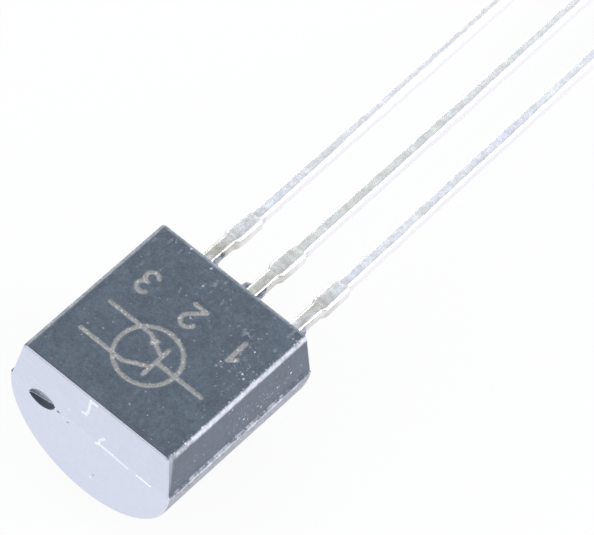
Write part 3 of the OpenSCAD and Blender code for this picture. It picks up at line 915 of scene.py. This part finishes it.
def side_marks(points, to_top, to_leads, size):
    """How worn, dusty, chipped and rubbed the moulding's sides are, and where highlights, a reflection and
    shade are painted on them, each from 0 to 1.

    to_top and to_leads count the rows of the mesh from each point to the two ends.
    """
    x, y, z = points.T
    right_highlight = np.hypot(x - RIGHT_HIGHLIGHT[0], z - RIGHT_HIGHLIGHT[1])
    by_ledge = np.abs(np.abs(x) - size.width / 2) + np.abs(z + 0.02)
    middle = within(np.abs(y + 0.2), 2.2, 1.2)
    along_right = 0.45 + 0.55 * smooth(y, -2.0, -1.2)

    worn = np.max([
        within(np.hypot(x - RIGHT_EDGE[0], z - RIGHT_EDGE[1]), 0.13, 0.07),
        0.5 * within(np.hypot(x - LEFT_EDGE[0], z - LEFT_EDGE[1]), 0.10, 0.08),
        (0.35 + 0.65 * middle) * within(by_ledge, 0.16, 0.10),
        0.5 * (z > 0) * within(to_leads, 5.0, 3)], 0)

    (patch_x, patch_y), (half_width, half_length) = DUST_PATCH
    wall = smooth(x, 2.0, 2.12) * smooth(-z, -1.05, -0.35) * (0.12 + 0.88 * within(np.abs(y - 0.6), 1.3, 0.8))
    dusty = np.max([
        0.6 * within(np.hypot((x - patch_x) / half_width, (y - patch_y) / half_length), 1.0, 0.7),
        wall,
        0.25 * smooth(y, 1.6, 2.3)], 0)

    flakes = grain(points, 7, 9) + 0.7 * grain(points, 21, 10)
    torn = 0.85 * within(by_ledge, 0.10, 0.06) * smooth(flakes + 0.5 * middle, 0.1, 0.8)
    glitter = 0.55 + 0.6 * grain(points, 5, 18) + 0.5 * grain(points, 16, 19)
    # a painted highlight: the white core of the line along the right edge, with painted glitter, carried by
    # the chip mark
    painted_highlight_line = 1.2 * along_right * within(right_highlight, 0.058, 0.03) * glitter

    streaky = 0.8 + 0.5 * grain(points, 3, 14) + 0.5 * grain(points, 12, 15)
    leaning = np.stack([4.0 * x, 1.1 * y, z + 0.6 * x + y], -1)
    scuffs = smooth(grain(leaning, 2.6, 16) + 0.4 * grain(points, 18, 17), 0.35, 0.8)
    scuffs *= 0.42 * (z > 1.2) * (0.15 + 0.85 * smooth(y, 0.4, 1.7))
    below = np.arctan2(-z, np.abs(x))
    # rubbed scuffs on the flat, and painted light: highlights along the right and left long edges and the
    # lead end's edge, light along the parting ledge over its shade line, and a reflection in the band below
    # the parting line on the back
    rubbed = streaky * np.max([
        along_right * within(right_highlight, 0.082, 0.04),
        0.9 * within(by_ledge, 0.075, 0.04),
        0.5 * within(np.hypot(x - LEFT_HIGHLIGHT[0], z - LEFT_HIGHLIGHT[1]), 0.06, 0.03),
        0.45 * (z > 1.15) * within(to_leads, 6.6, 1.0),
        0.5 * (z < 0) * within(below, 0.7, 0.5),
        scuffs], 0)
    # a painted highlight on the rounded front corner of the right wall
    corner = 0.6 * smooth(0.13 * z - (y + size.flat_length / 2), -0.03, 0.06)
    corner *= smooth(x, 1.95, 2.05) * smooth(z, 0.0, 0.4)

    return {"worn": worn, "dusty": dusty, "chip": np.maximum(torn, painted_highlight_line).clip(0, 1),
            "rubbed": np.maximum(rubbed, corner).clip(0, 1),
            # painted shade on the flat's rounded edge at the top end, which damps its highlight
            "hollow": 0.4 * within(to_top, 6.5, 1.5) * smooth(z, 1.12, 1.2)}


def moulding_mesh(size, mark, gate, pitch):
    """Points, faces, marks and the faces' finishes of the moulding without its flash."""
    ring, flat_count = section_ring(size)
    rings = side_rings(ring, size)
    count, columns = rings.shape[:2]
    points, faces = rings.reshape(-1, 3), loft_faces(count, columns)
    row_of, column_of = np.divmod(np.arange(len(points)), columns)
    to_top, to_leads = row_of, count - 1 - row_of

    ripple = grain(points, 1.3, 1) + 0.35 * grain(points, 4.5, 2)
    points[:, [0, 2]] += size.ripple * ripple[:, None] * corner_normals(ring)[column_of]
    ledge = (np.hypot(*(np.abs(ring) - (size.width / 2, 0)).T) < 1e-6)[column_of]
    points[ledge] = tear_ledge(points[ledge], np.minimum(to_top, to_leads)[ledge])
    on_flat = (column_of > 0) & (column_of < flat_count - 1) & (np.minimum(to_top, to_leads) > EDGE_STEPS)
    marks = {"etch": etched(points, on_flat, size, mark, pitch)}
    marks.update(side_marks(points, to_top, to_leads, size))
    # the first rows at the top end take the finish with the painted reflection
    finish = [SHEEN_AND_PAINTED_REFLECTION if face < PAINTED_REFLECTION_ROWS * columns else MOULDED for face in range(len(faces))]

    top_y, lead_y = end_places(size)
    ends = ((0, top_y, -1, SHEEN_AND_PAINTED_REFLECTION, 0.03, partial(top_relief, gate=gate), partial(top_detail, gate=gate)),
            (count - 1, lead_y, 1, MOULDED, 0.045, lead_end_relief, no_detail))
    for row, surface, outward, kind, spacing, relief, detail in ends:
        border = points[row * columns:(row + 1) * columns][:, [0, 2]]
        # the fill wants a counter-clockwise ring
        order = np.arange(columns)[::-1]
        places, triangles = face_triangles(border[order], spacing, detail)
        height, added, broken = relief(places)
        height += size.ripple * grain(at_y(places, row), 1.6, 8)
        to_border = np.min([np.hypot(*(places - place).T) for place in border[::3]], 0)
        added["worn"] = 0.25 * (places[:, 1] > 0) * within(to_border, 0.07, 0.05)
        index = np.r_[row * columns + order, len(points) + np.arange(len(places))]
        in_pit = np.r_[np.zeros(columns, bool), broken]
        for face in triangles:
            # the triangles face -Y, which is the top end's way out; those of the lead end are turned over
            faces.append(tuple(int(index[corner]) for corner in face[::-outward]))
            finish.append(BROKEN if in_pit[list(face)].all() else kind)
        points = np.vstack([points, at_y(places, surface(places[:, 1]) + outward * height)])
        marks = more_marks(marks, added, len(places))
    return points, faces, marks, finish


# tongues of resin flash: the lead's place in pitches, the side of it, and shares of the full length and width
TONGUES = ((-1, 1, 1.0, 1.0), (0, 1, 0.95, 1.0), (0, -1, 0.8, 1.7), (1, 1, 0.78, 1.1))
# how deep a tongue starts inside the moulding, how deep it is at least, and how far it reaches into its lead
TONGUE_ROOT, TONGUE_DEPTH, TONGUE_LAP = 0.06, 0.06, 0.04
TONGUE_RINGS = 40


def flash_tongue(x, side, run, wide, size, gate, leads, seed):
    """A crumbly tongue of resin beside a lead, so many flash widths wide: rings along the lead."""
    lead_y = end_places(size)[1](np.zeros(1))[0]
    half = leads.width / 2
    near = half - TONGUE_LAP
    rings = []
    for part in np.linspace(0, 1, TONGUE_RINGS):
        y = lead_y - TONGUE_ROOT + part * (run + TONGUE_ROOT)
        spot = np.array([[x * 3 + side, y, seed]])
        tear = 0.7 * grain(spot, 4, seed)[0] + 0.9 * grain(spot, 15, seed)[0]
        # the tongue swells past its root, and its last fifth is rounded off
        stub_end = math.sqrt(max(0.0, 1 - max(0.0, (part - 0.82) / 0.18) ** 2))
        swell = 0.55 + 0.45 * math.sin(math.pi * min(1.0, 0.15 + part)) ** 2
        ragged = max(0.12, swell * (1 + 0.55 * tear))
        reach = half - TONGUE_LAP / 2 + (wide * gate.flash_width + TONGUE_LAP / 2) * ragged * stub_end
        thick = (gate.flash_thickness - TONGUE_DEPTH) * (1 - 0.4 * part) * (1 + 0.25 * tear)
        deep = TONGUE_DEPTH + thick * stub_end
        level = -0.02 - 0.03 * abs(tear)
        third = (reach - near) / 3
        section = [(near, level), (near + third, level + 0.012 * tear), (near + 2 * third, level - 0.006),
                   (reach, level - 0.03), (reach - 0.2 * third, -0.7 * deep - 0.01),
                   (reach - 0.6 * third, -deep - 0.02), (near, -deep - 0.02)]
        rings.append([(x + side * beside, y, z) for beside, z in section[::side]])
    return np.array(rings)


class TRANSISTOR_OT_moulding(bpy.types.Operator):
    """Makes the moulding: its lofted form, the etched marking, the gate's pit and the resin flash"""
    bl_idname = "transistor.moulding"
    bl_label = "Moulding"

    def execute(self, context):
        scene = context.scene
        size, mark = in_millimetres(scene.transistor_moulding), in_millimetres(scene.transistor_marking)
        gate, leads = in_millimetres(scene.transistor_gate), in_millimetres(scene.transistor_leads)
        points, faces, marks, finish = moulding_mesh(size, mark, gate, leads.pitch)
        for seed, (place, side, share, wide) in enumerate(TONGUES):
            x, run = place * leads.pitch, share * gate.flash_length
            rings = flash_tongue(x, side, run, wide, size, gate, leads, 20 + seed)
            added, added_faces = closed_loft(rings, len(points))
            pale = 0.12 + 0.75 * smooth(grain(added, 7, 30 + seed), 0.0, 0.5)
            points = np.vstack([points, added])
            faces += added_faces
            finish += [MOULDED] * len(added_faces)
            marks = more_marks(marks, {"rubbed": pale}, len(added))
        materials = [epoxy_material(size, mark, kind) for kind in EPOXY_FINISHES]
        make_piece("moulding_body", points, faces, materials, "moulding", marks, finish)
        return {"FINISHED"}


# ---- leads ----

# each lead: its place in pitches, how warm its plating is and how far its tip is bent towards -X; then how it
# was handled: from where on, how much rounder that made its right edge and how much cleaner its face
LEADS = {
    "collector_lead": SimpleNamespace(place=-1, tint=0.45, bent=0.05,
                                      handled=5.0, rounder=0.12, cleaner=0.55),
    "base_lead": SimpleNamespace(place=0, tint=0.9, bent=0.06, handled=8.0, rounder=0.06, cleaner=0.5),
    "emitter_lead": SimpleNamespace(place=1, tint=0.15, bent=0.14,
                                    handled=8.5, rounder=0.04, cleaner=0.35),
}
# where the bend starts, and the run over which the signs of handling grow
BEND_START, HANDLED_RUN = 4.2, 6.0
# spacing of a lead's rings, the first ring's distance from the moulding, and the run in which a stub ends
RING_STEP, RING_START, STUB_END = 0.07, 0.01, 0.03
INNER_EDGE_RADIUS = 0.02
# along a lead: the flare before its stubs, where shade is painted, where soil thins out and where its sides
# start to be clean
FLARE_MIDDLE, SOIL_FADE, CLEAN_RISE = 3.77, (3.0, 5.2), (4.5, 4.8)
# the stubs' cut faces: where they start, where they end, and the borders at their far end and at their foot
CUT_RISE, CUT_FALL, CUT_END, CUT_FOOT = (3.95, 4.05), (4.74, 4.78), (4.56, 4.62), (0.27, 0.30)


def inner_ranges(name, leads, size):
    """The ranges of the frame inside that belong to a lead, each (y from, y to, x from, x to)."""
    top_y, lead_y = end_places(size)
    lead_end, top_end = lead_y(np.zeros(1))[0], -top_y(np.zeros(1))[0]
    edge = size.width / 2 - leads.side_cover
    emitter_x = edge - leads.emitter_post
    pad = (-top_end + leads.end_cover, -top_end + leads.end_cover + leads.pad_length)
    base = (pad[1] + leads.frame_gap, pad[1] + leads.frame_gap + leads.base_post_length)
    head = {"collector_lead": (*pad, -edge, emitter_x - leads.frame_gap),
            "base_lead": (*base, -leads.base_post / 2, leads.base_post / 2),
            "emitter_lead": (base[1] - leads.emitter_post_length, base[1], emitter_x, edge)}[name]
    x = LEADS[name].place * leads.pitch
    lock_end = lead_end - leads.lock_cover
    lock_start = lock_end - leads.lock_length
    stem = [(head[1], lock_start, leads.inner_width), (lock_start, lock_end, leads.lock_width),
            (lock_end, lead_end, leads.width)]
    return [head] + [(start, end, x - wide / 2, x + wide / 2) for start, end, wide in stem]


def bar_section(left, right, low, high, radii, steps=5):
    """A rounded rectangle in x and z, clockwise from its upper right corner, with points along its sides."""
    corners = ((right, high, -1, -1, 90), (right, low, -1, 1, 0), (left, low, 1, 1, -90),
               (left, high, 1, -1, -180))
    ring = [arc((x + inward * radius, z + upward * radius), radius, start, start - 90, steps)
            for (x, z, inward, upward, start), radius in zip(corners, radii)]
    sides = []
    for here, there in zip(ring, ring[1:] + ring[:1]):
        sides.append(here)
        sides.append(straight(here[-1], there[0], 5)[1:-1])
    return np.vstack(sides)


def bend(lead, y):
    """How far the lead's middle lies beside its straight axis at each y."""
    return -lead.bent * np.clip((y - BEND_START) / (TIP_Y - BEND_START), 0, 1) ** 1.2


def handling(lead, y):
    """How much of its handling shows on a lead at each y, 0 to 1."""
    return smooth(y, lead.handled, lead.handled + HANDLED_RUN)


def lead_rings(name, leads, size, seed):
    """The rings of one lead, from inside the moulding out to its tip."""
    lead = LEADS[name]
    x, half, radius = lead.place * leads.pitch, leads.width / 2, leads.edge_radius
    lead_end = end_places(size)[1](np.zeros(1))[0]
    rings = []
    for start, end, left, right in inner_ranges(name, leads, size):
        section = bar_section(left, right, -leads.thickness, 0, [INNER_EDGE_RADIUS] * 4)
        rings += [at_y(section, start), at_y(section, end)]

    first, flare = lead_end + RING_START, lead_end + leads.dam_start - leads.dam_flare
    dam = (lead_end + leads.dam_start, lead_end + leads.dam_start + leads.dam_length)
    steps = [first, flare, dam[1], dam[1] + STUB_END, TIP_Y - leads.tip_bevel, TIP_Y]
    along = np.unique(np.r_[np.arange(lead_end + 0.05, TIP_Y, RING_STEP),
                            np.linspace(dam[0] - 0.2, dam[1] + 0.1, 40), steps].round(5))
    for y in along[(along >= first) & (along <= TIP_Y)]:
        spot = np.array([[x * 2.7, y, seed]])
        drift = [grain(spot, 0.35, seed + side)[0] for side in range(2)]
        shear = [grain(spot, 2.2, seed + 3 + side)[0] + 0.5 * grain(spot, 8, seed + 5 + side)[0]
                 for side in range(2)]
        stub = between(y, (flare, dam[0]), (dam[1], dam[1] + STUB_END))
        free = smooth(y, lead_end, lead_end + 1.2)
        uneven = 0.010 * (0.3 + 0.7 * free)
        reach = half + leads.dam_out * stub - max(0.0, y - (TIP_Y - leads.tip_bevel))
        middle = x + bend(lead, y) + 0.015 * drift[0] * free * smooth(TIP_Y - y, 0, 1)
        # the stamping tool has pressed the face a little at both ends of the stubs
        pressed = 0.005 * sum(within(abs(y - place), 0.09, 0.09) for place in dam)
        high = 0.003 * drift[1] * free - pressed
        rolled = radius + 0.02 * stub + lead.rounder * handling(lead, y)
        section = bar_section(middle - reach + uneven * shear[0], middle + reach + uneven * shear[1],
                              -leads.thickness, high, (rolled, radius, radius, radius))
        rings.append(at_y(section, y))
    rings = np.array(rings)

    # lumps of the dip, straight out from the lead's middle; the underside stays flat
    lumpy = smooth(rings[..., 1], lead_end + 0.1, lead_end + 0.8) * smooth(TIP_Y - rings[..., 1], 0, 0.5)
    spots = rings.reshape(-1, 3)
    lumps = (0.010 * grain(spots, 2.4, seed + 7) + 0.004 * grain(spots, 9, seed + 8)).reshape(lumpy.shape)
    way = rings[..., [0, 2]] - (x, -leads.thickness / 2)
    way[..., 0] -= bend(lead, rings[..., 1])
    way /= np.maximum(np.hypot(way[..., 0], way[..., 1]), 0.01)[..., None]
    rings[..., [0, 2]] += (lumps * lumpy)[..., None] * way
    rings[..., 2] = np.maximum(rings[..., 2], -leads.thickness)
    return rings


def lead_marks(points, name, leads):
    """How soiled a lead is, with painted shade in its flare, and how warm, how clean and how freshly cut it
    is, each from 0 to 1.
    """
    lead = LEADS[name]
    x, y, z = points.T
    beside = x - lead.place * leads.pitch - bend(lead, y)
    past_side = np.abs(beside) - leads.width / 2
    handled = handling(lead, y)
    # the sides are clean, and so is the right edge where it is rounder
    sides = smooth(past_side + lead.rounder * handled * (beside > 0), -0.06, -0.03) * smooth(y, *CLEAN_RISE)
    lower_sides = smooth(past_side, -0.03, 0.0) * smooth(z, -0.30, -0.26)
    border = np.maximum(smooth(-z, *CUT_FOOT), smooth(y, *CUT_END))
    return {
        # painted shade in the flare before the stubs, and soil near the moulding
        "soil": np.maximum(0.7 * within(np.abs(y - FLARE_MIDDLE), 0.09, 0.07), 1 - smooth(y, *SOIL_FADE)),
        "tint": np.full(len(points), lead.tint),
        "clean": np.max([sides, lead.cleaner * handled, lower_sides], 0),
        "cut": 0.9 * border * between(y, CUT_RISE, CUT_FALL) * smooth(past_side, -0.01, 0.03),
    }


class TRANSISTOR_OT_leads(bpy.types.Operator):
    """Makes the three leads, each with its stubs, its sheared sides and its part of the frame inside"""
    bl_idname = "transistor.leads"
    bl_label = "Leads"

    def execute(self, context):
        scene = context.scene
        size, leads = in_millimetres(scene.transistor_moulding), in_millimetres(scene.transistor_leads)
        tin = tin_material(leads)
        for seed, name in enumerate(LEADS):
            points, faces = closed_loft(lead_rings(name, leads, size, 40 + 10 * seed))
            make_piece(name + "_plated", points, faces, [tin], name,
                       lead_marks(points, name, leads))
        return {"FINISHED"}


class TRANSISTOR_OT_chip(bpy.types.Operator):
    """Gives the chip, its bonding layer and the bond wires their finishes"""
    bl_idname = "transistor.chip"
    bl_label = "Chip and wires"

    def execute(self, context):
        chip = context.scene.transistor_chip
        silicon = inner_material("silicon", chip.silicon_tone, 0.2, 0.12, 20.0)
        adhesive = inner_material("silver adhesive", chip.adhesive_tone, 0.0, 0.6, 60.0)
        gold = inner_material("gold wire", chip.gold_tone, 1.0, 0.2, 40.0)
        for name, material in (("silicon_die", silicon), ("die_attach", adhesive), ("base_bond_wire", gold),
                               ("emitter_bond_wire", gold)):
            node_mesh = frame["nodes"][name].data
            node_mesh.materials.clear()
            node_mesh.materials.append(material)
        return {"FINISHED"}


# ---- stage ----

# each lamp: its direction from the part, its distance, its width and its height
LAMPS = {
    "key lamp": ((-0.45, -0.82, 0.36), 0.35, 0.28, 0.22),
    "edge lamp": ((0.75, 0.53, 0.40), 0.30, 0.04, 0.26),
    "rim lamp": ((-0.60, 0.76, 0.26), 0.30, 0.34, 0.06),
}
FLOOR_REACH = 4.0
SENSOR_WIDTH = 36
WHITE = (1, 1, 1, 1)


def camera_axes(stage):
    """The camera's way back, its right and its up, as vectors in the row's frame."""
    back = Vector((math.sin(stage.azimuth) * math.cos(stage.elevation),
                   -math.cos(stage.azimuth) * math.cos(stage.elevation), math.sin(stage.elevation)))
    level = (-back).cross(Vector((0, 0, 1))).normalized()
    upright = level.cross(-back)
    right = math.cos(stage.roll) * level + math.sin(stage.roll) * upright
    return back, right, math.cos(stage.roll) * upright - math.sin(stage.roll) * level


def add_camera(stage):
    """The camera, aimed beside the flat's centre."""
    back, right, up = camera_axes(stage)
    data = bpy.data.cameras.new("camera")
    data.lens = stage.lens
    data.sensor_width = SENSOR_WIDTH
    data.clip_start, data.clip_end = 0.01, 50
    camera = bpy.data.objects.new("camera", data)
    spot = FLAT_CENTRE + stage.distance * back + stage.aim_right * right + stage.aim_up * up
    camera.matrix_world = Matrix.Translation(spot) @ Matrix((right, up, back)).transposed().to_4x4()
    bpy.context.scene.collection.objects.link(camera)
    bpy.context.scene.camera = camera


def add_lamp(name, radiance, tone=(1, 1, 1)):
    """A flat lamp that faces the part, with a given radiance."""
    direction, distance, width, height = LAMPS[name]
    data = bpy.data.lights.new(name, "AREA")
    data.shape = "RECTANGLE"
    data.size, data.size_y = width, height
    data.energy = radiance * math.pi * width * height
    data.color = tone
    lamp = bpy.data.objects.new(name, data)
    way = Vector(direction).normalized()
    lamp.location = FLAT_CENTRE + way * distance
    lamp.rotation_mode = "QUATERNION"
    lamp.rotation_quaternion = way.to_track_quat("Z", "Y")
    bpy.context.scene.collection.objects.link(lamp)


def seen_white(tree, camera_share, mirror_share):
    """How much plain white a ray sees: one share for the camera, one for mirrors and glass."""
    path = node(tree, "LightPath")
    mirrors = larger(tree, path.outputs["Is Glossy Ray"], path.outputs["Is Transmission Ray"])
    return larger(tree, times(tree, path.outputs["Is Camera Ray"], camera_share),
                  times(tree, mirrors, mirror_share))


def add_floor(stage):
    """A pale floor that looks white to the camera and still takes the part's shadow."""
    mesh = bpy.data.meshes.new("floor")
    corners = [(FLOOR_REACH * x, FLOOR_REACH * y, 0) for x, y in ((-1, -1), (1, -1), (1, 1), (-1, 1))]
    mesh.from_pydata(corners, [], [(0, 1, 2, 3)])
    material, tree, shader = new_material("pale floor")
    shader.inputs["Base Color"].default_value = rgba(stage.floor_tone)
    shader.inputs["Roughness"].default_value = 0.9
    seen = node(tree, "LightPath").outputs["Is Camera Ray"]
    glow = node(tree, "Emission", {"Color": mixed(tree, seen, rgba(stage.mirror_tone), WHITE)})
    share = seen_white(tree, stage.whiteness, 1.0)
    both = node(tree, "MixShader", {0: share, 1: shader.outputs[0], 2: glow.outputs[0]})
    tree.links.new(both.outputs[0], tree.nodes["Material Output"].inputs["Surface"])
    mesh.materials.append(material)
    floor = bpy.data.objects.new("floor", mesh)
    bpy.context.scene.collection.objects.link(floor)


def add_sky(stage):
    """Even light from all round, white where the camera sees it."""
    world = bpy.data.worlds.new("sky")
    world.use_nodes = True
    tree = world.node_tree
    share = seen_white(tree, 1.0, 0.0)
    tree.links.new(mixed(tree, share, rgba(stage.sky_tone), WHITE), tree.nodes["Background"].inputs["Color"])
    bpy.context.scene.world = world


class TRANSISTOR_OT_stage(bpy.types.Operator):
    """Makes the pale floor, the lamps, the sky and the camera"""
    bl_idname = "transistor.stage"
    bl_label = "Stage"

    def execute(self, context):
        stage = context.scene.transistor_stage
        context.scene.view_settings.view_transform = "Standard"
        add_floor(stage)
        add_sky(stage)
        add_lamp("key lamp", stage.key_strength)
        add_lamp("edge lamp", stage.edge_strength, stage.edge_tone)
        add_lamp("rim lamp", stage.rim_strength)
        add_camera(stage)
        return {"FINISHED"}


class TRANSISTOR_PT_panel(bpy.types.Panel):
    """Lists the operators and their settings"""
    bl_idname = "TRANSISTOR_PT_panel"
    bl_label = "Transistor"
    bl_space_type = "VIEW_3D"
    bl_region_type = "UI"
    bl_category = "Transistor"

    def draw(self, context):
        for operator, groups in PIECES:
            self.layout.operator(operator.bl_idname)
            for key in groups:
                group = getattr(context.scene, key)
                for name in setting_names(group):
                    self.layout.prop(group, name)


GROUPS = {
    "transistor_moulding": MouldingSettings,
    "transistor_marking": MarkingSettings,
    "transistor_gate": GateSettings,
    "transistor_leads": LeadSettings,
    "transistor_chip": ChipSettings,
    "transistor_stage": StageSettings,
}
PIECES = (
    (TRANSISTOR_OT_moulding, ("transistor_moulding", "transistor_marking", "transistor_gate")),
    (TRANSISTOR_OT_leads, ("transistor_leads",)),
    (TRANSISTOR_OT_chip, ("transistor_chip",)),
    (TRANSISTOR_OT_stage, ("transistor_stage",)),
)
CLASSES = (*GROUPS.values(), *[operator for operator, _ in PIECES], TRANSISTOR_PT_panel)


def register():
    """Registers the property groups, the operators and the panel."""
    for kind in CLASSES:
        bpy.utils.register_class(kind)
    for key, kind in GROUPS.items():
        setattr(bpy.types.Scene, key, bpy.props.PointerProperty(type=kind))


def unregister():
    """Undoes register."""
    for key in GROUPS:
        delattr(bpy.types.Scene, key)
    for kind in reversed(CLASSES):
        bpy.utils.unregister_class(kind)


def main():
    """Makes every piece and the stage."""
    register()
    bpy.ops.transistor.moulding()
    bpy.ops.transistor.leads()
    bpy.ops.transistor.chip()
    bpy.ops.transistor.stage()


if __name__ == "__main__":
    main()
